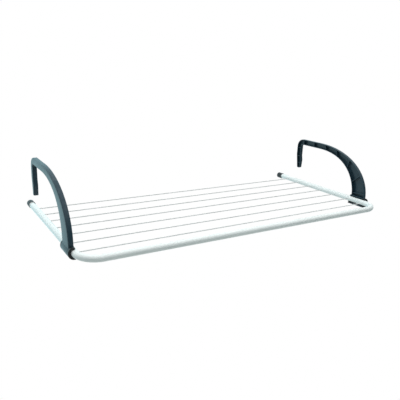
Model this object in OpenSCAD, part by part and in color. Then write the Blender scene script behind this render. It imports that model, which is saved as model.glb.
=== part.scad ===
// Hook-over clothes airer: a U-shaped tube frame strung with drying lines, hung from a balcony
// rail by two moulded hook arms. Each arm turns on a slider, and each slider runs along a side tube.
// X runs across, Y from the front bar to the capped rear ends, Z up. The origin is midway between
// the arms, on the top outer edge of the rail: at the hook seats' height and the hook legs' front.

/* [Frame] */
// Distance between the centre lines of the two side tubes
frame_w = 1000; // [600:10:1300]
// From the front bar's centre line to the rear faces of the end caps
frame_d = 500; // [410:5:700]
// Outer diameter of the frame tube
tube_d = 18; // [15:0.5:22]
// Wall of the frame tube
tube_wall = 1.2; // [0.8:0.1:2]
// Centre line radius of the two front bends
bend_r = 52; // [40:1:70]

/* [Drying lines] */
// Diameter of a drying line
line_d = 2.8; // [2:0.1:3.5]
// From the end of a bend to the first line
first_line_gap = 6; // [4:0.5:12]
// From the last line to the rear faces of the end caps
rear_line_gap = 70; // [55:1:100]
// Play of a line in its hole in the tube, on the diameter
line_hole_play = 0.4; // [0.2:0.1:1]
// Diameter of the ferrule crimped on each end of a line
stop_d = 5.6; // [5:0.1:7]
// Length of that ferrule
stop_len = 5; // [3:0.5:6]

/* [End caps] */
// Length of a cap along its tube
cap_len = 24.5; // [20:0.5:32]
// Wall of a cap round its tube
cap_wall = 1.6; // [1:0.1:3]
// Solid end of a cap behind its tube
cap_end = 8; // [5:0.5:10]
// Radius of the cap's rounded rim
cap_rim_r = 2.4; // [1:0.1:3]

/* [Sliders] */
// Wall of a slider under the arm's hub
slider_wall = 2.6; // [1.5:0.1:3.5]
// Width of the slider's front collar
front_collar_w = 7.7; // [5:0.1:8]
// Width of the slider's rear collar
rear_collar_w = 4.4; // [3:0.1:8]
// Angle from the inward direction up to the lip of the mouth that the lines pass through
mouth_up = 85; // [60:1:90]
// Angle from the inward direction down to the mouth's lower lip
mouth_down = 57; // [50:1:70]

/* [Hook arms] */
// Wall of the hub that turns on a slider
hub_wall = 4.6; // [2.5:0.1:6]
// Depth of the arm's channel section, across the frame
arm_depth = 13; // [10:0.5:16]
// Wall of the channel's web and flanges
arm_wall = 2.5; // [2:0.1:3.5]
// Thickness of the cross ribs
rib_w = 2; // [1.5:0.1:3]
// From the front bar's centre line to the hook leg's front face
hook_reach = 385; // [340:1:470]
// Height of the hook seat above the tube's centre line
seat_h = 146.5; // [125:0.5:180]
// Thickness of the arm above the seat
seat_t = 20; // [16:0.5:26]
// Thickness of the hook leg, front to rear
leg_t = 20; // [16:0.5:26]
// Height of the leg's lower tip above the tube's centre line
leg_tip_h = 54; // [40:1:70]
// Radius outside the hook's corner
corner_r_out = 29; // [18:0.5:32]
// Radius inside the hook's corner
corner_r_in = 7; // [4:0.5:12]
// How far the grip ridge stands out of the leg's front face
ridge_h = 3.5; // [0:0.5:4]

/* [Hidden] */
line_count = 7;
run_gap = 0.08;      // radial clearance of each running fit
side_gap = 0.3;      // end play of a hub between its collars
line_gap = 1.1;      // free space between a folded arm and the lines beside it
touch_gap = 0.02;    // gap left between pieces that are pressed together
cut = 1;             // overshoot of every cutting shape
facets = 96;         // facets of a round preview
arc_steps = 10;      // points in each rounded corner of an outline
curve_steps = 40;    // points in each long curve of an outline

tube_r = tube_d / 2;
bore_r = tube_r - tube_wall;
side_x = frame_w / 2;
line_r = line_d / 2;
stop_r = stop_d / 2;

first_line_y = bend_r + first_line_gap;
line_pitch = (frame_d - rear_line_gap - first_line_y) / (line_count - 1);
function line_y(n) = first_line_y + (n - 1) * line_pitch;

tube_end_y = frame_d - cap_end;
cap_front_y = frame_d - cap_len;
cap_r = tube_r + cap_wall;

// A line's ferrule seats against the inner wall of the tube's bore.
stop_face_x = side_x - sqrt(bore_r * bore_r - stop_r * stop_r) + touch_gap;
line_end_x = stop_face_x + stop_len;

slider_in_r = tube_r + run_gap;
slider_mid_r = slider_in_r + slider_wall;
hub_in_r = slider_mid_r + run_gap;
hub_r = hub_in_r + hub_wall;
hub_front_y = first_line_y + line_r + line_gap;
slider_front_y = hub_front_y - side_gap - front_collar_w;
slider_rear_y = line_y(2) - line_r - side_gap;
hub_rear_y = slider_rear_y - rear_collar_w - side_gap;
wrap = 360 - mouth_up - mouth_down;

top_h = seat_h + seat_t;
leg_rear_y = hook_reach + leg_t;
front_rise = 100;    // lengths of the handles that shape the two long curves of the arm
front_run = 120;
rear_rise = 30;
rear_run = 153;
front_curve_z = 12;
rear_curve_z = 17;
curve_end_y = hook_reach - 98;

// ---- placing and helper shapes ----

// From the tube's centre line and the front bar to the rail's top outer edge
module placed() translate([0, -hook_reach, -seat_h]) children();
module on_right() placed() children();
module on_left() placed() mirror([1, 0, 0]) children();

// A solid round bar along Y, and one along X
module bar_y(x, y0, y1, r)
    translate([x, y0, 0]) rotate([-90, 0, 0]) cylinder(r = r, h = y1 - y0, $fn = facets);
module bar_x(x0, x1, y, r)
    translate([x0, y, 0]) rotate([0, 90, 0]) cylinder(r = r, h = x1 - x0, $fn = facets);

// An outline in radius and length, turned round the right tube's axis but for its mouth
module c_sleeve(y0)
    translate([side_x, y0, 0]) rotate([-90, 0, 0]) rotate([0, 0, mouth_up - 180])
        rotate_extrude(angle = wrap, $fn = facets) children();

function unit(v) = v / norm(v);
// Points of an arc of radius r that rounds corner b between its neighbours a and c
function rounded(a, b, c, r) =
    let (u = unit(a - b), v = unit(c - b), half = acos(u * v) / 2,
         mid = b + unit(u + v) * r / sin(half),
         p = b + u * r / tan(half) - mid, q = b + v * r / tan(half) - mid,
         start = atan2(p[1], p[0]), raw = atan2(q[1], q[0]) - start,
         turn = raw > 180 ? raw - 360 : raw < -180 ? raw + 360 : raw)
    [for (i = [0 : arc_steps])
        mid + r * [cos(start + turn * i / arc_steps), sin(start + turn * i / arc_steps)]];
// A point at share t of the cubic curve with end points a and d and handle points b and c
function on_curve(a, b, c, d, t) =
    pow(1 - t, 3) * a + 3 * t * pow(1 - t, 2) * b + 3 * t * t * (1 - t) * c + pow(t, 3) * d;

// ---- frame ----

module u_sweep(r, y_end) {
    for (s = [-1, 1]) {
        bar_y(s * side_x, bend_r, y_end, r);
        translate([s * (side_x - bend_r), bend_r, 0]) rotate([0, 0, s > 0 ? -90 : 180])
            rotate_extrude(angle = 90, $fn = facets) translate([bend_r, 0]) circle(r = r, $fn = facets);
    }
    bar_x(-side_x + bend_r, side_x - bend_r, 0, r);
}

module frame_tube() color("whitesmoke") placed() difference() {
    u_sweep(tube_r, tube_end_y);
    u_sweep(bore_r, tube_end_y + cut);
    for (n = [1 : line_count], s = [0, 1]) mirror([s, 0, 0])
        bar_x(side_x - tube_r - cut, side_x - bore_r + cut, line_y(n), line_r + line_hole_play / 2);
}

module drying_line(n) color("gainsboro") placed()
    bar_x(-line_end_x, line_end_x, line_y(n), line_r);

module line_stops() color("silver") for (n = [1 : line_count]) difference() {
    bar_x(stop_face_x, line_end_x, line_y(n), stop_r);
    bar_x(stop_face_x - cut, line_end_x + cut, line_y(n), line_r);
}

// Cap turned from its half section: sleeve round the tube, solid end and rounded rim
module end_cap() color("dimgray") translate([side_x, cap_front_y, 0]) rotate([-90, 0, 0])
    rotate_extrude($fn = facets) polygon(concat(
        [[tube_r + touch_gap, 0], [cap_r, 0]],
        [for (i = [0 : arc_steps]) let (a = 90 * i / arc_steps)
            [cap_r - cap_rim_r * (1 - cos(a)), cap_len - cap_rim_r * (1 - sin(a))]],
        [[0, cap_len], [0, cap_len - cap_end + touch_gap],
         [tube_r + touch_gap, cap_len - cap_end + touch_gap]]));

// ---- slider: a reduced middle for the hub between two collars ----

module slider() color([0.13, 0.14, 0.15]) {
    len = slider_rear_y - slider_front_y;
    c_sleeve(slider_front_y) polygon([
        [slider_in_r, 0], [hub_r, 0], [hub_r, front_collar_w], [slider_mid_r, front_collar_w],
        [slider_mid_r, len - rear_collar_w], [hub_r, len - rear_collar_w], [hub_r, len],
        [slider_in_r, len]]);
}

// ---- hook arm, outlined in Y and Z ----

function front_curve(t) = on_curve([hub_front_y, front_curve_z], [hub_front_y, front_curve_z + front_rise],
    [curve_end_y - front_run, top_h], [curve_end_y, top_h], t);
function rear_curve(t) = on_curve([hub_rear_y, rear_curve_z], [hub_rear_y, rear_curve_z + rear_rise],
    [curve_end_y - rear_run, seat_h], [curve_end_y, seat_h], t);

// Corners of the leg from the seat down its front, round the tip and up its rear
ridge_h0 = leg_tip_h + 32;
leg_front = [hook_reach, seat_h];
leg_corners = [
    [[hook_reach, ridge_h0 + 15], 30], [[hook_reach - ridge_h, ridge_h0], 12],
    [[hook_reach - 1, leg_tip_h], 4], [[leg_rear_y - 8, leg_tip_h], 5],
    [[leg_rear_y, ridge_h0 + 20], 60]];
leg_path = concat([[leg_front, corner_r_in]], leg_corners, [[[leg_rear_y, top_h], corner_r_out]]);
function leg_point(i) = i < 0 ? [curve_end_y, seat_h]
    : i >= len(leg_path) ? [curve_end_y, top_h] : leg_path[i][0];

arm_outline = concat(
    [[hub_rear_y, 0]],
    [for (i = [0 : curve_steps]) rear_curve(i / curve_steps)],
    [for (i = [0 : len(leg_path) - 1])
        each rounded(leg_point(i - 1), leg_point(i), leg_point(i + 1), leg_path[i][1])],
    [for (i = [0 : curve_steps]) front_curve(1 - i / curve_steps)],
    [[hub_front_y, 0]]);

// Each rib is a point on the arm's middle line and the angle of the arm there
rib_shares = [0.055, 0.3, 0.55, 0.77, 0.93];
function mid_curve(t) = (front_curve(t) + rear_curve(t)) / 2;
function curve_rib(t) = let (d = mid_curve(t + 0.01) - mid_curve(t - 0.01))
    [mid_curve(t), atan2(d[1], d[0])];
top_mid_h = seat_h + seat_t / 2;
leg_mid_y = hook_reach + leg_t / 2;
ribs = concat([for (t = rib_shares) curve_rib(t)],
    [[[curve_end_y + 32, top_mid_h], 0], [[hook_reach - 12, top_mid_h], 0],
     [[leg_mid_y, seat_h - 14], 90], [[leg_mid_y, ridge_h0 + 14], 90],
     [[leg_mid_y - 2, ridge_h0 - 12], 90]]);
rib_len = 80;        // longer than the arm is broad, then cut to its outline
rib_drop = 1.5;      // the ribs end this far inside the channel's rim

// An outline in Y and Z made a plate between two distances outside the tube's centre plane
module plate(x0, x1) translate([side_x + x0, 0, 0]) rotate([90, 0, 90])
    linear_extrude(height = x1 - x0) children();

// Web, flanges and ribs, ended inside the wall of the hub
module channel() difference() {
    union() {
        plate(0, arm_depth) difference() {
            polygon(arm_outline);
            offset(delta = -arm_wall) polygon(arm_outline);
        }
        plate(arm_depth - arm_wall, arm_depth) polygon(arm_outline);
        plate(rib_drop, arm_depth - arm_wall / 2) intersection() {
            offset(delta = -arm_wall / 2) polygon(arm_outline);
            for (r = ribs) translate(r[0]) rotate(r[1]) square([rib_w, rib_len], center = true);
        }
    }
    bar_y(side_x, hub_front_y - cut, hub_rear_y + cut, hub_in_r + hub_wall / 2);
}

module arm() color([0.36, 0.43, 0.47]) {
    channel();
    c_sleeve(hub_front_y) translate([hub_in_r, 0]) square([hub_wall, hub_rear_y - hub_front_y]);
}

module drying_line_1() drying_line(1);
module drying_line_2() drying_line(2);
module drying_line_3() drying_line(3);
module drying_line_4() drying_line(4);
module drying_line_5() drying_line(5);
module drying_line_6() drying_line(6);
module drying_line_7() drying_line(7);
module line_stops_left() on_left() line_stops();
module line_stops_right() on_right() line_stops();
module end_cap_left() on_left() end_cap();
module end_cap_right() on_right() end_cap();
module slider_left() on_left() slider();
module slider_right() on_right() slider();
module arm_left() on_left() arm();
module arm_right() on_right() arm();

frame_tube();
drying_line_1();
drying_line_2();
drying_line_3();
drying_line_4();
drying_line_5();
drying_line_6();
drying_line_7();
line_stops_left();
line_stops_right();
end_cap_left();
end_cap_right();
slider_left();
slider_right();
arm_left();
arm_right();
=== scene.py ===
"""Hook-over clothes airer: finished surfaces, materials and studio round the fixed frame.

Shapes are worked out in millimetres on the tube's own plane: X across, Y back from the front bar's
centre line, Z up from the tube's centre line. placed() turns them into the row frame, in metres.
"""
import math

import bmesh
import bpy
import numpy as np
from mathutils import Matrix, Vector


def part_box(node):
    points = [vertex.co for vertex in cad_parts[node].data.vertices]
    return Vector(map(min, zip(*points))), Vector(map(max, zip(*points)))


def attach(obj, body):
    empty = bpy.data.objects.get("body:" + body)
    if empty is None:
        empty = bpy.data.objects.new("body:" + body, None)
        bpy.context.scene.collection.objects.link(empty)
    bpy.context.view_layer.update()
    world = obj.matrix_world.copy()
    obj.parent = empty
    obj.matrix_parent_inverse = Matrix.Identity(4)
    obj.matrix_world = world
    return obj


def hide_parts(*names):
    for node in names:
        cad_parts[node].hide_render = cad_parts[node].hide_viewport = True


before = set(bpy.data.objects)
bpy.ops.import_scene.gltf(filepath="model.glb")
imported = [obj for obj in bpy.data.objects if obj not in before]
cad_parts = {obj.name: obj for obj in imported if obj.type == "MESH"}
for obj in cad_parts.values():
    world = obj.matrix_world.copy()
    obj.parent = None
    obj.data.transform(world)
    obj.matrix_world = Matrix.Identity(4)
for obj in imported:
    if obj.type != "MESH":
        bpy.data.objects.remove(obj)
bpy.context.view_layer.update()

# ---------------------------------------------------------------- sizes, read from the frame

MM = 0.001


def box_mm(node):
    """Lowest and highest corner of a node, in millimetres in the row frame."""
    low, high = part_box(node)
    return np.array(low) / MM, np.array(high) / MM


tube_low, tube_high = box_mm("frame_tube")
TUBE_R = (tube_high[2] - tube_low[2]) / 2
SIDE_X = tube_high[0] - TUBE_R
ORIGIN = np.array([0, tube_low[1] + TUBE_R, (tube_low[2] + tube_high[2]) / 2])
TUBE_END_Y = tube_high[1] - ORIGIN[1]
TUBE_WALL = 1.2
BORE_R = TUBE_R - TUBE_WALL
BEND_R = 52

LINES = [f"drying_line_{n}" for n in range(1, 8)]


def placed(points):
    """Points in millimetres on the tube's plane, as metres in the row frame."""
    return (np.asarray(points, float) + ORIGIN) * MM


# ---------------------------------------------------------------- outlines

def unit(v):
    return v / np.linalg.norm(v)


def corner(a, b, c, radius, steps=5):
    """Points of the arc that rounds corner b between neighbours a and c: the arc's centre lies on the
    half angle, radius / sin(half) from the corner, and the points turn evenly round it."""
    a, b, c = (np.asarray(p, float) for p in (a, b, c))
    to_a, to_c = unit(a - b), unit(c - b)
    half = math.acos(np.clip(to_a @ to_c, -1, 1)) / 2
    middle = b + unit(to_a + to_c) * radius / math.sin(half)
    first, last = (b + t * radius / math.tan(half) - middle for t in (to_a, to_c))
    start = math.atan2(first[1], first[0])
    turn = math.remainder(math.atan2(last[1], last[0]) - start, math.tau)
    angle = start + turn * np.linspace(0, 1, steps + 1)
    return middle + radius * np.stack([np.cos(angle), np.sin(angle)], 1)


def rounded(points, radii, steps=5):
    """A closed outline with every corner rounded. Returns its points and, for each, how much of an
    edge it is: 1 in the middle of a round corner, 0 where the corner meets the flat."""
    count = len(points)
    arcs = [corner(points[i - 1], points[i], points[(i + 1) % count], radii[i], steps) for i in range(count)]
    share = np.sin(np.linspace(0, math.pi, steps + 1))
    return np.concatenate(arcs), np.tile(share, count)


def curve(a, b, c, d, t):
    """The cubic curve with ends a and d and handles b and c, at shares t."""
    a, b, c, d = (np.asarray(p, float) for p in (a, b, c, d))
    t = np.asarray(t, float)[:, None]
    return (1 - t) ** 3 * a + 3 * t * (1 - t) ** 2 * b + 3 * t * t * (1 - t) * c + t ** 3 * d


def shrunk(outline, depth):
    """A closed outline moved inwards by depth along its own normals."""
    ahead = np.roll(outline, -1, 0) - outline
    ahead /= np.linalg.norm(ahead, axis=1, keepdims=True)
    along = ahead + np.roll(ahead, 1, 0)
    along /= np.linalg.norm(along, axis=1, keepdims=True)
    area = np.sum(outline[:, 0] * np.roll(outline[:, 1], -1) - outline[:, 1] * np.roll(outline[:, 0], -1))
    inward = np.stack([-along[:, 1], along[:, 0]], 1) * np.sign(area)
    return outline + inward * depth


# ---------------------------------------------------------------- meshes

def skin(rings, edge=None, joined=False):
    """A closed skin through rings of points, as vertices, faces, edge shares and face coordinates.
    Each ring is joined to the next by quads. The last ring is joined to the first, or the two end
    rings are filled. The coordinates run along the rings in metres, and round each ring from 0 to 1."""
    count, around = rings.shape[:2]
    edge = np.zeros((count, around)) if edge is None else np.broadcast_to(edge, (count, around))
    i = np.arange(count if joined else count - 1)[:, None]
    j = np.arange(around)[None, :]
    here, ahead, turn = i * around, (i + 1) % count * around, (j + 1) % around
    quads = np.stack([here + j, ahead + j, ahead + turn, here + turn], -1).reshape(-1, 4)
    steps = np.linalg.norm(np.diff(rings.mean(1), axis=0), axis=1)
    far = np.concatenate([[0], np.cumsum(steps), [steps.sum()]]) * MM
    u = np.stack(np.broadcast_arrays(far[i], far[i + 1], far[i + 1], far[i]), -1) + 0 * j[..., None]
    v = np.stack(np.broadcast_arrays(j, j, j + 1, j + 1), -1) / around + 0 * i[..., None]
    faces = quads.tolist()
    coords = np.stack([u.reshape(-1), v.reshape(-1)], 1)
    if not joined:
        faces += [list(range(around)), list(range((count - 1) * around, count * around))]
        coords = np.concatenate([coords, np.zeros((2 * around, 2))])
    return rings.reshape(-1, 3), faces, edge.reshape(-1), coords


def mirrored(shell):
    """The same shell on the other side of the middle plane."""
    points, faces, edge, coords = shell
    return points * [-1, 1, 1], faces, edge, coords


def mesh_of(name, shells):
    """One mesh from closed shells, with its edge shares and face coordinates, poles merged and
    faces pointing outwards."""
    start, points, faces, edge, coords = 0, [], [], [], []
    for shell in shells:
        points.append(shell[0])
        faces += [[start + n for n in face] for face in shell[1]]
        edge.append(shell[2])
        coords.append(shell[3])
        start += len(shell[0])
    mesh = bpy.data.meshes.new(name)
    mesh.from_pydata(placed(np.concatenate(points)), [], faces)
    mesh.attributes.new("edge", "FLOAT", "POINT").data.foreach_set(
        "value", np.concatenate(edge).astype(np.float32))
    mesh.uv_layers.new(name="along").data.foreach_set(
        "uv", np.concatenate(coords).astype(np.float32).ravel())
    bm = bmesh.new()
    bm.from_mesh(mesh)
    bmesh.ops.remove_doubles(bm, verts=bm.verts, dist=1e-6)
    bmesh.ops.recalc_face_normals(bm, faces=bm.faces)
    bm.to_mesh(mesh)
    bm.free()
    return mesh


def solid(name, *shells):
    """An object made of closed shells."""
    thing = bpy.data.objects.new(name, mesh_of(name, shells))
    bpy.context.scene.collection.objects.link(thing)
    return thing


def worked(thing, tool, operation):
    """Joins the tool to a thing or cuts it away, and removes the tool."""
    step = thing.modifiers.new("work", "BOOLEAN")
    step.object, step.operation, step.solver = tool, operation, "EXACT"
    graph = bpy.context.evaluated_depsgraph_get()
    mesh = bpy.data.meshes.new_from_object(thing.evaluated_get(graph))
    thing.modifiers.clear()
    thing.data = mesh
    bpy.data.objects.remove(tool)
    return thing


def finished(thing, body, slot, material, *nodes, sharp=38):
    """Smooths a piece up to its sharp edges, gives it its material and puts it on its body."""
    thing.data.shade_smooth()
    thing.data.set_sharp_from_angle(angle=math.radians(sharp))
    thing.data.materials.clear()
    thing.data.materials.append(material)
    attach(thing, body)
    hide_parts(*nodes)
    return thing


# ---------------------------------------------------------------- turned and swept shapes

LIP_THIN = 0.35
LIP_FADE = 34


def turned(profile, centre, axis="y", sides=48, edge=None, joined=False, radius_of=None):
    """A profile of (radius, distance along) turned round a line through centre along the axis.
    radius_of, where given, changes the radii by the angle and the distance."""
    angle = np.linspace(0, math.tau, sides, endpoint=False)[None, :]
    radius, along = profile[:, :1] + 0 * angle, profile[:, 1:] + 0 * angle
    if radius_of is not None:
        radius = radius_of(radius, along, angle)
    wide, high = radius * np.cos(angle), radius * np.sin(angle)
    order = [wide, along, high] if axis == "y" else [along, wide, high]
    rings = np.stack(order, -1) + np.asarray(centre, float)
    return skin(rings, None if edge is None else edge[:, None], joined)


def sleeve(outline, edge, front_y, lips, lip_round, steps=72):
    """A sleeve round the right tube with an open mouth. The closed outline, in radius and length,
    turns round the tube's axis from one lip to the other, and shrinks over the last lip_round
    millimetres at each lip along a quarter circle, so that the lips are rounded. Towards the upper
    lip the wall thins smoothly by a share LIP_THIN over LIP_FADE degrees."""
    low, high = (math.radians(a) for a in lips)
    mean, inner = outline[:, 0].mean(), outline[:, 0].min()
    turn = np.linspace(0, math.pi / 2, 5)[:-1]
    inset = lip_round * (1 - np.sin(turn))
    reach = lip_round * (1 - np.cos(turn)) / mean
    span = np.linspace(low + lip_round / mean, high - lip_round / mean, steps)
    angles = np.concatenate([low + reach, span, (high - reach)[::-1]])
    depths = np.concatenate([inset, np.zeros(steps), inset[::-1]])
    rings = []
    for angle, depth in zip(angles, depths):
        near_lip = np.clip(1 - (high - angle) / math.radians(LIP_FADE), 0, 1)
        thin = 1 - LIP_THIN * near_lip * near_lip * (3 - 2 * near_lip)
        loop = shrunk(outline, depth)
        loop = np.stack([inner + (loop[:, 0] - inner) * thin, loop[:, 1]], 1)
        rings.append(np.stack([SIDE_X + loop[:, 0] * math.cos(angle), front_y + loop[:, 1],
                               loop[:, 0] * math.sin(angle)], 1))
    share = np.maximum(edge[None, :], (depths / lip_round)[:, None])
    return skin(np.array(rings), share)


def along_path(path, normals, radius, sides=64):
    """Circles of that radius round each point of a flat path in X and Y, square to it."""
    angle = np.linspace(0, math.tau, sides, endpoint=False)
    flat = path[:, None, :] + radius * np.cos(angle)[None, :, None] * normals[:, None, :]
    high = np.broadcast_to(radius * np.sin(angle), flat.shape[:2])
    return np.concatenate([flat, high[..., None]], 2)


# ---------------------------------------------------------------- materials

def group(name, inputs, outputs, build):
    """A node group with named float sockets. build places its nodes and links them."""
    tree = bpy.data.node_groups.new(name, "ShaderNodeTree")
    for socket, value in inputs.items():
        new = tree.interface.new_socket(socket, in_out="INPUT", socket_type="NodeSocketFloat")
        new.default_value = value
    for socket in outputs:
        tree.interface.new_socket(socket, in_out="OUTPUT", socket_type="NodeSocketFloat")
    build(Wiring(tree), tree.nodes.new("NodeGroupInput").outputs, tree.nodes.new("NodeGroupOutput").inputs)
    return tree


class Wiring:
    """Short ways to add nodes to one node tree and link them."""

    def __init__(self, tree):
        self.tree = tree

    def wire(self, value, socket):
        """Links an output to a socket, or sets the socket to a plain value."""
        if isinstance(value, bpy.types.NodeSocket):
            self.tree.links.new(value, socket)
        else:
            socket.default_value = value

    def node(self, kind, inputs=None, **settings):
        """Adds a node with its settings and its inputs by name or number."""
        node = self.tree.nodes.new("ShaderNode" + kind)
        for key, value in settings.items():
            setattr(node, key, value)
        for key, value in (inputs or {}).items():
            self.wire(value, node.inputs[key])
        return node

    def math(self, operation, first, second=0.0):
        """One sum on two numbers."""
        return self.node("Math", {0: first, 1: second}, operation=operation).outputs[0]

    def noise(self, scale, detail=3.0, stretch=(1, 1, 1)):
        """Noise at a scale per metre on the piece's own coordinates, stretched by axis."""
        where = self.node("TexCoord").outputs["Object"]
        spread = self.node("Mapping", {"Vector": where, "Scale": stretch}).outputs[0]
        return self.node("TexNoise", {"Vector": spread, "Scale": scale, "Detail": detail}).outputs["Fac"]

    def ramp(self, value, low, high, out_low=0.0, out_high=1.0):
        """A number carried smoothly from one range to another and held at its ends."""
        sockets = {"Value": value, 1: low, 2: high, 3: out_low, 4: out_high}
        return self.node("MapRange", sockets, interpolation_type="SMOOTHSTEP").outputs[0]

    def mix(self, share, first, second):
        """A colour between two colours."""
        node = self.node("Mix", {"Factor": share}, data_type="RGBA")
        self.wire(first, node.inputs[6])
        self.wire(second, node.inputs[7])
        return node.outputs[2]

    def use(self, tree, **values):
        """Places a node group with its values and returns its outputs."""
        node = self.tree.nodes.new("ShaderNodeGroup")
        node.node_tree = tree
        for key, value in values.items():
            self.wire(value, node.inputs[key.replace("_", " ").capitalize()])
        return node.outputs


def build_grain(w, given, out):
    """Two sizes of noise added as one height, the finer one half as deep, times the depth."""
    coarse, fine = w.noise(given["Grain scale"]), w.noise(w.math("MULTIPLY", given["Grain scale"], 2.7))
    both = w.math("ADD", coarse, w.math("MULTIPLY", fine, 0.5))
    w.wire(w.math("MULTIPLY", both, given["Grain depth"]), out["Height"])


def build_cloud(w, given, out):
    """Broad soft noise, from 0 to 1, for slow changes of tint and gloss."""
    w.wire(w.ramp(w.noise(given["Cloud scale"], 4.0), 0.3, 0.7), out["Cloud"])


def build_wear(w, given, out):
    """The edge share from the mesh, broken up by noise, as a mask of rubbed edges."""
    edge = w.node("Attribute", attribute_name="edge").outputs["Fac"]
    broken = w.ramp(w.noise(given["Wear scale"], 5.0), 0.38, 0.62)
    rubbed = w.math("MULTIPLY", w.ramp(edge, 0.35, 1.0), broken)
    w.wire(w.math("MULTIPLY", rubbed, given["Wear amount"]), out["Wear"])


def build_dust(w, given, out):
    """More dust the more a face looks up, broken up by noise."""
    facing = w.node("NewGeometry").outputs["Normal"]
    up = w.node("SeparateXYZ", {0: facing}).outputs["Z"]
    patches = w.ramp(w.noise(given["Dust scale"], 6.0), 0.42, 0.75)
    w.wire(w.math("MULTIPLY", w.math("MULTIPLY", w.ramp(up, 0.2, 1.0), patches),
                  given["Dust amount"]), out["Dust"])


GRAIN = group("fine_grain", {"Grain scale": 900.0, "Grain depth": 1.0}, ["Height"], build_grain)
CLOUD = group("soft_cloud", {"Cloud scale": 9.0}, ["Cloud"], build_cloud)
WEAR = group("rubbed_edges", {"Wear scale": 260.0, "Wear amount": 0.5}, ["Wear"], build_wear)
DUST = group("settled_dust", {"Dust scale": 70.0, "Dust amount": 0.1}, ["Dust"], build_dust)


def finish_of(name, build, **settings):
    """A material on one Principled shader. build returns what varies over the surface, by socket."""
    material = bpy.data.materials.new(name)
    material.use_nodes = True
    w = Wiring(material.node_tree)
    shader = material.node_tree.nodes["Principled BSDF"]
    for key, value in settings.items():
        shader.inputs[key.replace("_", " ")].default_value = value
    for key, value in build(w).items():
        w.wire(value, shader.inputs[key])
    return material


def bumped(w, height, strength, distance):
    """A normal from a height, its depth in metres at height 1."""
    return w.node("Bump", {"Height": height, "Strength": strength, "Distance": distance}).outputs["Normal"]


def plastic(dark, light, rubbed, rough, grain_scale, grain_depth):
    """Moulded plastic with spark-eroded grain, a slow change of tint, rubbed edges and a little dust."""
    def build(w):
        cloud = w.use(CLOUD, cloud_scale=9.0)["Cloud"]
        wear = w.use(WEAR, wear_scale=240.0, wear_amount=0.55)["Wear"]
        dust = w.use(DUST, dust_scale=80.0, dust_amount=0.07)["Dust"]
        tint = w.mix(wear, w.mix(cloud, dark, light), rubbed)
        gloss = w.ramp(cloud, 0.0, 1.0, rough - 0.03, rough + 0.03)
        gloss = w.math("ADD", gloss, w.math("MULTIPLY", dust, 0.8))
        height = w.use(GRAIN, grain_scale=grain_scale, grain_depth=1.0)["Height"]
        return {"Base Color": w.mix(dust, tint, (0.34, 0.35, 0.35, 1)),
                "Roughness": w.math("SUBTRACT", gloss, w.math("MULTIPLY", wear, 0.12)),
                "Normal": bumped(w, height, 0.5, grain_depth)}
    return build


def powder_coat(w):
    """White powder coat: orange peel a millimetre or two across, a slow change of tint, a little dust."""
    cloud = w.use(CLOUD, cloud_scale=6.0)["Cloud"]
    dust = w.use(DUST, dust_scale=60.0, dust_amount=0.05)["Dust"]
    tint = w.mix(cloud, (0.86, 0.888, 0.876, 1), (0.83, 0.862, 0.85, 1))
    peel = w.use(GRAIN, grain_scale=520.0, grain_depth=1.0)["Height"]
    return {"Base Color": w.mix(dust, tint, (0.6, 0.6, 0.58, 1)),
            "Roughness": w.ramp(cloud, 0.0, 1.0, 0.26, 0.32),
            "Normal": bumped(w, peel, 0.2, 0.00004)}


def line_coat(w):
    """Pale coating over a laid core: the lay shows as a fine slanting relief along the line."""
    along = w.node("TexCoord").outputs["UV"]
    lay = w.node("TexWave", {"Vector": w.node("Mapping", {"Vector": along, "Scale": (220, 1, 1)}).outputs[0],
                             "Scale": 1.0, "Distortion": 0.3}, bands_direction="DIAGONAL").outputs["Fac"]
    cloud = w.use(CLOUD, cloud_scale=14.0)["Cloud"]
    dust = w.use(DUST, dust_scale=120.0, dust_amount=0.12)["Dust"]
    tint = w.mix(cloud, (0.74, 0.74, 0.735, 1), (0.68, 0.68, 0.675, 1))
    return {"Base Color": w.mix(dust, tint, (0.5, 0.5, 0.49, 1)),
            "Roughness": w.ramp(lay, 0.0, 1.0, 0.42, 0.5),
            "Normal": bumped(w, lay, 0.3, 0.00008)}


def crimped(w):
    """Dull drawn aluminium, scratched along its length and lighter on its rubbed edges."""
    scratch = w.noise(1400.0, 4.0, (0.08, 1, 1))
    wear = w.use(WEAR, wear_scale=500.0, wear_amount=0.8)["Wear"]
    return {"Base Color": w.mix(wear, (0.5, 0.51, 0.52, 1), (0.72, 0.73, 0.74, 1)),
            "Roughness": w.ramp(scratch, 0.3, 0.7, 0.34, 0.52),
            "Normal": bumped(w, scratch, 0.4, 0.00005)}


slate_plastic = finish_of("slate moulded plastic", plastic(
    dark=(0.013, 0.036, 0.052, 1), light=(0.019, 0.046, 0.064, 1), rubbed=(0.05, 0.08, 0.095, 1),
    rough=0.31, grain_scale=1300.0, grain_depth=0.00006), IOR=1.5)
slider_plastic = finish_of("black moulded plastic", plastic(
    dark=(0.005, 0.007, 0.009, 1), light=(0.008, 0.011, 0.013, 1), rubbed=(0.02, 0.025, 0.028, 1),
    rough=0.32, grain_scale=1700.0, grain_depth=0.00004), IOR=1.5)
cap_plastic = finish_of("dark cap plastic", plastic(
    dark=(0.016, 0.018, 0.022, 1), light=(0.024, 0.027, 0.03, 1), rubbed=(0.06, 0.065, 0.07, 1),
    rough=0.42, grain_scale=1500.0, grain_depth=0.00005), IOR=1.48)
tube_coat = finish_of("white powder coat", powder_coat, IOR=1.5, Coat_Weight=0.35, Coat_Roughness=0.12)
line_coating = finish_of("pale line coating", line_coat, IOR=1.5)
ferrule_metal = finish_of("crimped aluminium", crimped, Metallic=0.9)

# ---------------------------------------------------------------- frame tube

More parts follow.
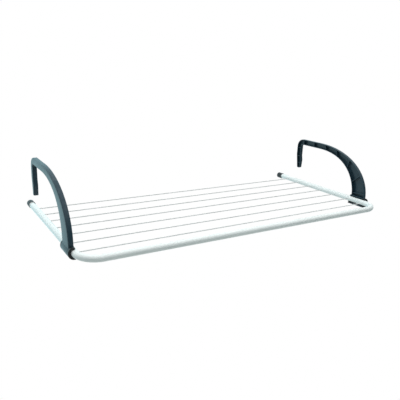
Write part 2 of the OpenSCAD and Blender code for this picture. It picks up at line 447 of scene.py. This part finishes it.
LINE_R = (box_mm("drying_line_1")[1][2] - box_mm("drying_line_1")[0][2]) / 2
LINE_Y = [float(sum(np.array(box_mm(line))[:, 1]) / 2 - ORIGIN[1]) for line in LINES]
HOLE_R = LINE_R + 0.2


def tube_path():
    """Points and normals of the U from the left rear end round to the right. Each side is straight to
    the bend, a quarter circle of the bend's radius, and half the front bar. Rings stand close together
    beside each line's hole, so that the holes stay in short faces."""
    beside = np.concatenate([[y - 5, y + 5] for y in LINE_Y])
    straight = np.concatenate([beside, [TUBE_END_Y - 0.3]])
    turn = np.linspace(0, math.pi / 2, 29)
    bend = BEND_R * np.stack([np.cos(turn) - 1, 1 - np.sin(turn)], 1) + [SIDE_X, 0]
    side = np.stack([np.full(len(straight), SIDE_X), straight], 1)[::-1]
    front = np.stack([np.linspace(SIDE_X - BEND_R, 0, 12)[1:], np.zeros(11)], 1)
    right = np.concatenate([side, bend, front])
    out_side = np.concatenate([np.tile([1.0, 0], (len(side), 1)), np.stack([np.cos(turn), -np.sin(turn)], 1),
                               np.tile([0, -1.0], (11, 1))])
    left, out_left = right[:-1] * [-1, 1], out_side[:-1] * [-1, 1]
    return np.concatenate([left, right[::-1]]), np.concatenate([left * 0 + out_left, out_side[::-1]])


def build_tube():
    """The tube's outer and inner skins along one path, joined by rounded lips at both ends, with a
    hole for each line through the inner wall of each side."""
    path, normals = tube_path()
    outer = along_path(path, normals, TUBE_R)
    inner = along_path(path, normals, BORE_R)
    lip_turn = np.linspace(0, math.pi, 7)
    middle, half = (TUBE_R + BORE_R) / 2, TUBE_WALL / 2

    def lip(end):
        """Rings over the rounded lip from the outer to the inner skin at one end of the path."""
        rings = []
        for turn in lip_turn[1:-1]:
            ring = along_path(path[[end]], normals[[end]], middle + half * math.cos(turn))[0]
            rings.append(ring + [0, half * 0.5 * math.sin(turn), 0])
        return np.array(rings)

    rings = np.concatenate([outer, lip(-1), inner[::-1], lip(0)[::-1]])
    tube = solid("frame_tube_coated", skin(rings, joined=True))
    hole = np.array([[HOLE_R, SIDE_X - TUBE_R - 1], [HOLE_R, SIDE_X - BORE_R + 1.5]])
    drills = []
    for y in LINE_Y:
        drill = turned(hole, [0, y, 0], "x", 24)
        drills += [drill, mirrored(drill)]
    tube = worked(tube, solid("drills", *drills), "DIFFERENCE")
    return finished(tube, "frame", "white_tube", tube_coat, "frame_tube")


# ---------------------------------------------------------------- lines, ferrules and caps

LINE_END_X = box_mm(LINES[0])[1][0]
STOP_LOW, STOP_HIGH = box_mm("line_stops_right")
STOP_R = STOP_HIGH[2] - ORIGIN[2]
STOP_X = STOP_LOW[0]
STOP_LEN = STOP_HIGH[0] - STOP_X
CRIMP_DEPTH = 0.22


def build_line(number, y):
    """A line turned from its profile: straight, with a slight neck under each ferrule and cut ends
    rounded over."""
    neck_r = LINE_R * 0.93
    ends = np.array([[0.02, LINE_END_X], [LINE_R * 0.6, LINE_END_X - 0.08], [neck_r, LINE_END_X - 0.5],
                     [neck_r, STOP_X + 0.6], [LINE_R, STOP_X - 0.6], [LINE_R, LINE_END_X - 40]])
    span = np.linspace(LINE_END_X - 60, 0, 13)
    half = np.concatenate([ends, np.stack([np.full(13, LINE_R), span], 1)])
    profile = np.concatenate([half, (half[:-1] * [1, -1])[::-1]])
    line = solid(f"drying_line_{number}_coated", turned(profile, [0, y, 0], "x", 20))
    return finished(line, "frame", "coated_line", line_coating, f"drying_line_{number}")


def build_ferrules(side, y_places):
    """Short crimped sleeves inside one side tube, one on the end of each line. The radius dips by
    CRIMP_DEPTH at four flats round the middle of each sleeve."""
    section = [[LINE_R + 0.02, 0], [STOP_R, 0], [STOP_R, STOP_LEN], [LINE_R + 0.02, STOP_LEN]]
    outline, edge = rounded(section, [0.1, 0.5, 0.5, 0.1], 4)
    wall = np.linspace(0.6, STOP_LEN - 0.6, 9)
    at = int(np.argmax(outline[:, 1] > 0.6 * STOP_LEN))
    outline = np.concatenate([outline[:at], np.stack([np.full(9, STOP_R), wall], 1), outline[at:]])
    edge = np.concatenate([edge[:at], np.zeros(9), edge[at:]])

    def dented(radius, along, angle):
        middle = STOP_X + STOP_LEN / 2
        depth = np.exp(-((along - middle) / 1.1) ** 2) * (0.5 + 0.5 * np.cos(4 * angle))
        return radius - CRIMP_DEPTH * depth * (radius > LINE_R + 0.5)

    profile = outline + [0, STOP_X]
    shells = [turned(profile, [0, y, 0], "x", 32, edge, True, dented) for y in y_places]
    if side == "left":
        shells = [mirrored(shell) for shell in shells]
    ferrules = solid(f"line_stops_{side}_crimped", *shells)
    return finished(ferrules, "frame", "line_ferrule", ferrule_metal, f"line_stops_{side}")


CAP_LOW, CAP_HIGH = box_mm("end_cap_right")
CAP_R = CAP_HIGH[2] - ORIGIN[2]
CAP_FRONT_Y = CAP_LOW[1] - ORIGIN[1]
CAP_LEN = CAP_HIGH[1] - CAP_LOW[1]
CAP_END = CAP_FRONT_Y + CAP_LEN - TUBE_END_Y


def build_cap(side):
    """A cap turned from its half section: drafted sleeve with a bead at its mouth, rounded rim, and
    a shallow gate dimple in the middle of its flat end."""
    section = [[TUBE_R + 0.05, 0], [CAP_R, 0], [CAP_R, 1.6], [CAP_R - 0.25, 2.3], [CAP_R - 0.1, CAP_LEN],
               [2.4, CAP_LEN], [1.6, CAP_LEN - 0.35], [0, CAP_LEN - 0.4],
               [0, CAP_LEN - CAP_END + 0.02], [TUBE_R + 0.05, CAP_LEN - CAP_END + 0.02]]
    outline, edge = rounded(section, [0.3, 0.55, 0.5, 0.8, 2.4, 0.4, 0.4, 0.01, 0.01, 0.3], 6)
    outline[:, 0] = np.maximum(outline[:, 0], 0)
    cap = turned(outline, [SIDE_X, CAP_FRONT_Y, 0], "y", 64, edge, True)
    cap = solid(f"end_cap_{side}_moulded", cap if side == "right" else mirrored(cap))
    return finished(cap, "frame", "dark_cap", cap_plastic, f"end_cap_{side}")


# ---------------------------------------------------------------- sliders

SLIDER_LOW, SLIDER_HIGH = box_mm("slider_right")
SLIDER_FRONT_Y = SLIDER_LOW[1] - ORIGIN[1]
SLIDER_LEN = SLIDER_HIGH[1] - SLIDER_LOW[1]
HUB_R = SLIDER_HIGH[0] - SIDE_X
RUN_GAP = 0.08
SIDE_GAP = 0.3
SLIDER_WALL = 2.6
SLIDER_IN_R = TUBE_R + RUN_GAP
SLIDER_MID_R = SLIDER_IN_R + SLIDER_WALL
HUB_IN_R = SLIDER_MID_R + RUN_GAP
FRONT_COLLAR = 7.7
REAR_COLLAR = 4.4
MOUTH_LIPS = (-123, 95)


def build_slider(side):
    """A sleeve with a mouth, its section two collars with a reduced middle for the arm's hub."""
    section = [[SLIDER_IN_R, 0], [HUB_R, 0], [HUB_R, FRONT_COLLAR], [SLIDER_MID_R, FRONT_COLLAR],
               [SLIDER_MID_R, SLIDER_LEN - REAR_COLLAR], [HUB_R, SLIDER_LEN - REAR_COLLAR],
               [HUB_R, SLIDER_LEN], [SLIDER_IN_R, SLIDER_LEN]]
    outline, edge = rounded(section, [0.4, 1.1, 0.5, 0.4, 0.4, 0.5, 1.1, 0.4])
    shell = sleeve(outline, edge, SLIDER_FRONT_Y, MOUTH_LIPS, 0.6)
    slider = solid(f"slider_{side}_moulded", shell if side == "right" else mirrored(shell))
    return finished(slider, f"{side}_slider", "black_slider", slider_plastic, f"slider_{side}")


# ---------------------------------------------------------------- hook arms

ARM_HIGH = box_mm("arm_right")[1]
ARM_DEPTH = 13
ARM_WALL = 2.5
FLOOR_DEPTH = ARM_DEPTH - ARM_WALL
CORNER_IN_R = 7
CORNER_OUT_R = 29
REAR_RISE = 17
FRONT_RISE = 12
REAR_HANDLES = (30, 153)
FRONT_HANDLES = (100, 120)
TOP_Z = ARM_HIGH[2] - ORIGIN[2]
SEAT_Z = -ORIGIN[2]
REACH_Y = -ORIGIN[1]
LEG_REAR_Y = ARM_HIGH[1] - ORIGIN[1]
HUB_FRONT_Y = SLIDER_FRONT_Y + FRONT_COLLAR + SIDE_GAP
HUB_REAR_Y = SLIDER_FRONT_Y + SLIDER_LEN - REAR_COLLAR - SIDE_GAP
CURVE_END_Y = REACH_Y - 98
TIP_Z = 54
TIP_ROUND = 5
RIDGE_Z = TIP_Z + 32
RIDGE_H = 3.5
RIB_SHARES = [0.055, 0.3, 0.55, 0.77, 0.93]
TOP_RIBS = [CURVE_END_Y + 32, REACH_Y - 12]
LEG_RIBS = [SEAT_Z - 14, RIDGE_Z + 14, RIDGE_Z - 12]
RIM_R = 0.7
WEB_R = 3.2
FOOT_R = 0.8
CROWN = 0.55
DRAFT = 0.25
RIM_W = 2.3
FOOT_W = 2.75
WEB_AHEAD = 40
CORNER_STEPS = 6
POCKET_START = 2 * (CORNER_STEPS + 1) + 3
RIB_TOP = 1.5
RISE_STEPS = 11
CURVE_STEPS = 240
LEG_STEPS = 159
TIP_STEPS = 13
RING_STEP = 3.5
WEB_SHARES = np.linspace(0, 1, 9)[None, 1:-1]
TIP_FALL = 2.2


def arm_edges():
    """The arm's two edges in Y and Z, paired station by station from the hub to the tip: a straight
    rise out of the hub, two cubic curves, the straight top, the round corner, and the leg by height."""
    rise = np.linspace(0, 1, RISE_STEPS + 1)[:-1, None]
    rear = [np.array([HUB_REAR_Y, 0]) + rise * [0, REAR_RISE]]
    front = [np.array([HUB_FRONT_Y, 0]) + rise * [0, FRONT_RISE]]
    share = np.linspace(0, 1, CURVE_STEPS + 1)
    rear.append(curve((HUB_REAR_Y, REAR_RISE), (HUB_REAR_Y, REAR_RISE + REAR_HANDLES[0]),
                      (CURVE_END_Y - REAR_HANDLES[1], SEAT_Z), (CURVE_END_Y, SEAT_Z), share))
    front.append(curve((HUB_FRONT_Y, FRONT_RISE), (HUB_FRONT_Y, FRONT_RISE + FRONT_HANDLES[0]),
                       (CURVE_END_Y - FRONT_HANDLES[1], TOP_Z), (CURVE_END_Y, TOP_Z), share))
    run = np.linspace(0, 1, 60)[1:-1, None]
    turn = np.linspace(math.pi / 2, 0, 48)[:, None]
    around = np.concatenate([np.cos(turn), np.sin(turn)], 1)
    in_centre = np.array([REACH_Y - CORNER_IN_R, SEAT_Z - CORNER_IN_R])
    out_centre = np.array([LEG_REAR_Y - CORNER_OUT_R, TOP_Z - CORNER_OUT_R])
    rear.append(np.array([CURVE_END_Y, SEAT_Z]) + run * [in_centre[0] - CURVE_END_Y, 0])
    front.append(np.array([CURVE_END_Y, TOP_Z]) + run * [out_centre[0] - CURVE_END_Y, 0])
    rear.append(in_centre + CORNER_IN_R * around)
    front.append(out_centre + CORNER_OUT_R * around)
    face = [[REACH_Y, SEAT_Z - CORNER_IN_R], [REACH_Y, RIDGE_Z + 15], [REACH_Y - RIDGE_H, RIDGE_Z],
            [REACH_Y - 1, TIP_Z]]
    back = [[LEG_REAR_Y, TOP_Z - CORNER_OUT_R], [LEG_REAR_Y, RIDGE_Z + 20], [LEG_REAR_Y - 8, TIP_Z]]
    face_line = np.concatenate([[face[0]], corner(*face[0:3], 30, 9), corner(*face[1:4], 12, 9),
                                corner(face[2], face[3], back[2], 4, 12)])
    back_line = np.concatenate([[back[0]], corner(*back[0:3], 60, 9),
                                corner(back[1], back[2], face[3], 5, 12)])
    tip = TIP_Z + TIP_ROUND * (1 - np.cos(np.linspace(math.pi / 2, 0, TIP_STEPS + 1)))
    for line, edge in ((face_line, rear), (back_line, front)):
        high = np.concatenate([np.linspace(line[0][1], tip[0], LEG_STEPS + 1)[1:], tip[1:]])
        edge.append(np.stack([np.interp(high, line[::-1, 1], line[::-1, 0]), high], 1))
    return np.concatenate(rear), np.concatenate(front)


def stations():
    """Chooses the rings of the arm by distance along its middle line: one every RING_STEP, a set round
    each rib and a set at the tip. Returns both edges there, each ring's distance to the nearest rib,
    and its distance to the tip."""
    rear, front = arm_edges()
    middle = (rear + front) / 2
    far = np.concatenate([[0], np.cumsum(np.linalg.norm(np.diff(middle, axis=0), axis=1))])
    curved = far[RISE_STEPS:RISE_STEPS + CURVE_STEPS + 1]
    rib_far = list(np.interp(RIB_SHARES, np.linspace(0, 1, CURVE_STEPS + 1), curved))
    rib_far += [curved[-1] + y - CURVE_END_Y for y in TOP_RIBS]
    leg = slice(-(LEG_STEPS + TIP_STEPS), None)
    rib_far += list(np.interp([-z for z in LEG_RIBS], -middle[leg, 1], far[leg]))
    rib_far = np.array(rib_far)
    round_rib = np.array([0.0, 0.7, 0.9, 1.0, 1.15, 1.35, 1.8])
    around = np.concatenate([-round_rib[:0:-1], round_rib])
    near_tip = far[-1] - np.concatenate([[2.5 + d for d in (-0.5, -0.25, 0, 0.12, 0.5, 1.0)],
                                         TIP_ROUND * (1 - np.cos(np.linspace(0, math.pi / 2, 12)))])
    even = np.arange(0, far[-1] - 6, RING_STEP)
    clear = np.abs(even[:, None] - rib_far[None, :]).min(1) > 2.2
    chosen = np.unique(np.concatenate([even[clear], (rib_far[:, None] + around).ravel(), near_tip]))
    at = [np.stack([np.interp(chosen, far, edge[:, k]) for k in (0, 1)], 1) for edge in (rear, front)]
    return at[0], at[1], np.abs(chosen[:, None] - rib_far).min(1), far[-1] - chosen


def channel_section():
    """One side of the arm's section, its four round corners in turn: the web's outer corner, the two
    corners of the flange's rim and the foot of the pocket. Returns how far each point lies from the
    flange's outside, its depth, its edge share, and whether it is in the pocket."""
    section = [[WEB_AHEAD, ARM_DEPTH], [DRAFT, ARM_DEPTH], [0, 0], [RIM_W, 0], [FOOT_W, FLOOR_DEPTH],
               [WEB_AHEAD, FLOOR_DEPTH]]
    radii = [WEB_R, RIM_R, RIM_R, FOOT_R]
    seen_edge = [1, 1, 1, 0]
    points, edge = [], []
    for n, radius in enumerate(radii, 1):
        points.append(corner(section[n - 1], section[n], section[n + 1], radius, CORNER_STEPS))
        edge.append(np.sin(np.linspace(0, math.pi, CORNER_STEPS + 1)) * seen_edge[n - 1])
    points, edge = np.concatenate(points), np.concatenate(edge)
    pocket = np.arange(len(points)) >= POCKET_START
    return points[:, 0], points[:, 1], edge, pocket


def arm_shell():
    """The right arm's channel as one skin. At each station the section runs from edge to edge: fixed
    offsets from each edge, and even shares between them across the crowned web and the pocket's
    floor. A rib lifts the floor to just under the rim, the end wall closes the pocket, and the depth
    shrinks along a quarter circle at the tip."""
    rear, front, to_rib, to_tip = stations()
    across = rear - front
    width = np.linalg.norm(across, axis=1)[:, None]
    offset, depth, edge, pocket = channel_section()
    beside_rib = [RIB_TOP, 1.6, 1.85, FLOOR_DEPTH - 0.7, FLOOR_DEPTH - 0.2, FLOOR_DEPTH]
    floor = np.interp(to_rib, [0.7, 0.9, 1.0, 1.15, 1.35, 1.8], beside_rib)
    beside_end = np.interp(to_tip, [2.5, 2.62, 3.5], [RIB_TOP, FLOOR_DEPTH - 0.5, FLOOR_DEPTH])
    floor = np.minimum(floor, beside_end)[:, None]
    shut = np.clip((to_tip - 2.0) / 0.5, 0, 1)[:, None]
    near = offset[None, :] * np.minimum(1, width / (2 * offset.max() + 0.4))
    level = np.broadcast_to(depth, near.shape).copy()
    floor_part = pocket & (depth > RIB_TOP)
    level[:, floor_part] += floor - FLOOR_DEPTH
    level[:, pocket] *= shut
    near_web, near_floor = near[:, :1], near[:, -1:]
    web_at = near_web + (width - 2 * near_web) * WEB_SHARES
    floor_at = near_floor + (width - 2 * near_floor) * WEB_SHARES

    def crown(at):
        """How far the web falls: not at all in the middle, by CROWN at the edges, with the square."""
        return CROWN * (np.clip(2 * at / width - 1, -1, 1) ** 2)

    outside = ~pocket & (depth > 6)
    level[:, outside] -= crown(near[:, outside]) * (level[:, outside] / ARM_DEPTH)
    web_level = ARM_DEPTH - crown(web_at)
    floor_level = floor * shut + 0 * WEB_SHARES
    place = np.concatenate([near, floor_at, (width - near)[:, ::-1], web_at[:, ::-1]], 1)
    level = np.concatenate([level, floor_level, level[:, ::-1], web_level], 1)
    share = np.concatenate([edge, 0 * WEB_SHARES[0], edge[::-1], 0 * WEB_SHARES[0]])
    fall = TIP_FALL * (1 - np.sqrt(1 - np.clip(1 - to_tip / TIP_FALL, 0, 1) ** 2))[:, None]
    low, high = 0.3 * fall, ARM_DEPTH - fall
    level = low + level * (high - low) / ARM_DEPTH
    points = front[:, None, :] + place[..., None] * (across / width)[:, None, :]
    rings = np.concatenate([SIDE_X + level[..., None], points], 2)
    return skin(rings, share[None, :])


def build_arm(side):
    """The channel, cut to stop inside the hub's wall and joined to the hub: a sleeve round the slider."""
    channel = solid("channel", arm_shell())
    cut = (HUB_IN_R + HUB_R) / 2
    bore = turned(np.array([[cut, HUB_FRONT_Y - 1], [cut, HUB_REAR_Y + 1]]), [SIDE_X, 0, 0], "y", 96)
    channel = worked(channel, solid("bore", bore), "DIFFERENCE")
    hub_len = HUB_REAR_Y - HUB_FRONT_Y
    section = [[HUB_IN_R, 0], [HUB_R, 0], [HUB_R, hub_len], [HUB_IN_R, hub_len]]
    outline, edge = rounded(section, [0.4, 0.6, 0.6, 0.4])
    hub = solid("hub", sleeve(outline, edge, HUB_FRONT_Y, MOUTH_LIPS, 0.8))
    arm = worked(channel, hub, "UNION")
    arm.name = f"arm_{side}_moulded"
    if side == "left":
        arm.data.transform(Matrix.Scale(-1, 4, (1, 0, 0)))
        arm.data.flip_normals()
    return finished(arm, f"{side}_arm", "slate_arm", slate_plastic, f"arm_{side}")


# ---------------------------------------------------------------- the pieces

build_tube()
for number, y in enumerate(LINE_Y, 1):
    build_line(number, y)
for side in ("left", "right"):
    build_ferrules(side, LINE_Y)
    build_cap(side)
    build_slider(side)
    build_arm(side)

# ---------------------------------------------------------------- studio and camera


ROOM_FRONT = (0.14, 0.175, 0.18, 1)
ROOM_SIDE = (0.52, 0.62, 0.64, 1)
ROOM_REAR = (0.76, 1.17, 1.25, 1)
ROOM_HIGH = (0.68, 0.72, 0.72, 1)
FLOOR_SIZE = 3.2
FLOOR_PLACE = (0, -0.6, -1.1)
FLOOR_GLOW = (0.68, 0.75, 0.74, 1)


def glow(name, place, aim, size, power):
    """A large square area light at a place, looking at a point, unseen by the camera and in gloss."""
    light = bpy.data.lights.new(name, "AREA")
    light.size, light.energy = size, power
    lamp = bpy.data.objects.new(name, light)
    lamp.location = place
    lamp.visible_camera = False
    lamp.visible_glossy = False
    lamp.rotation_euler = (Vector(aim) - Vector(place)).to_track_quat("-Z", "Y").to_euler()
    bpy.context.scene.collection.objects.link(lamp)


def build_studio():
    """A glowing floor well below the airer, a room that is dim in front and cool and bright behind, and
    large soft lights. The floor and the room look plain white themselves."""
    world = bpy.data.worlds.new("white room")
    world.use_nodes = True
    w = Wiring(world.node_tree)
    direction = w.node("TexCoord").outputs["Generated"]
    height = w.node("SeparateXYZ", {0: direction}).outputs["Z"]
    behind = w.node("SeparateXYZ", {0: direction}).outputs["Y"]
    wall = w.mix(w.ramp(behind, -0.7, 0.3), ROOM_FRONT, ROOM_SIDE)
    wall = w.mix(w.ramp(behind, 0.5, 1.0), wall, ROOM_REAR)
    room = w.mix(w.ramp(height, 0.15, 1.0), wall, ROOM_HIGH)
    seen = w.node("LightPath").outputs["Is Camera Ray"]
    w.wire(w.mix(seen, room, (1, 1, 1, 1)), world.node_tree.nodes["Background"].inputs["Color"])
    bpy.context.scene.world = world
    bpy.ops.mesh.primitive_plane_add(size=FLOOR_SIZE, location=FLOOR_PLACE)
    floor = bpy.context.object
    floor.name = "studio_floor"
    pale = bpy.data.materials.new("pale floor")
    pale.use_nodes = True
    pale.node_tree.nodes.remove(pale.node_tree.nodes["Principled BSDF"])
    w = Wiring(pale.node_tree)
    seen = w.node("LightPath").outputs["Is Camera Ray"]
    white = w.node("Emission", {"Color": w.mix(seen, FLOOR_GLOW, (1, 1, 1, 1))}).outputs[0]
    w.wire(white, pale.node_tree.nodes["Material Output"].inputs["Surface"])
    floor.data.materials.append(pale)
    glow("top", (0.2, 0.2, 3.0), (0, 0, 0), 2.5, 60)
    glow("front", (0, -1.6, 2.4), (0, -0.4, -0.1), 2.0, 15)
    glow("left", (-1.9, 0.9, 0.8), (-0.4, 0, -0.05), 1.2, 3)


def build_camera():
    """The camera at the viewer's place in front and to the left, turned, tipped down and rolled."""
    data = bpy.data.cameras.new("viewer")
    data.lens = 43.29
    data.sensor_width = 36
    data.clip_end = 60
    camera = bpy.data.objects.new("viewer", data)
    yaw, pitch, roll = (math.radians(a) for a in (32.05, 16.38, 2.39))
    look = Vector((math.sin(yaw) * math.cos(pitch), math.cos(yaw) * math.cos(pitch), -math.sin(pitch)))
    level = Vector((math.cos(yaw), -math.sin(yaw), 0))
    upright = level.cross(look)
    right = math.cos(roll) * level + math.sin(roll) * upright
    up = math.cos(roll) * upright - math.sin(roll) * level
    turn = Matrix((right, up, -look)).transposed().to_4x4()
    camera.matrix_world = Matrix.Translation((-0.8094, -1.3686, 0.3033)) @ turn
    bpy.context.scene.collection.objects.link(camera)
    bpy.context.scene.camera = camera


build_studio()
build_camera()
bpy.context.scene.view_settings.view_transform = "Standard"
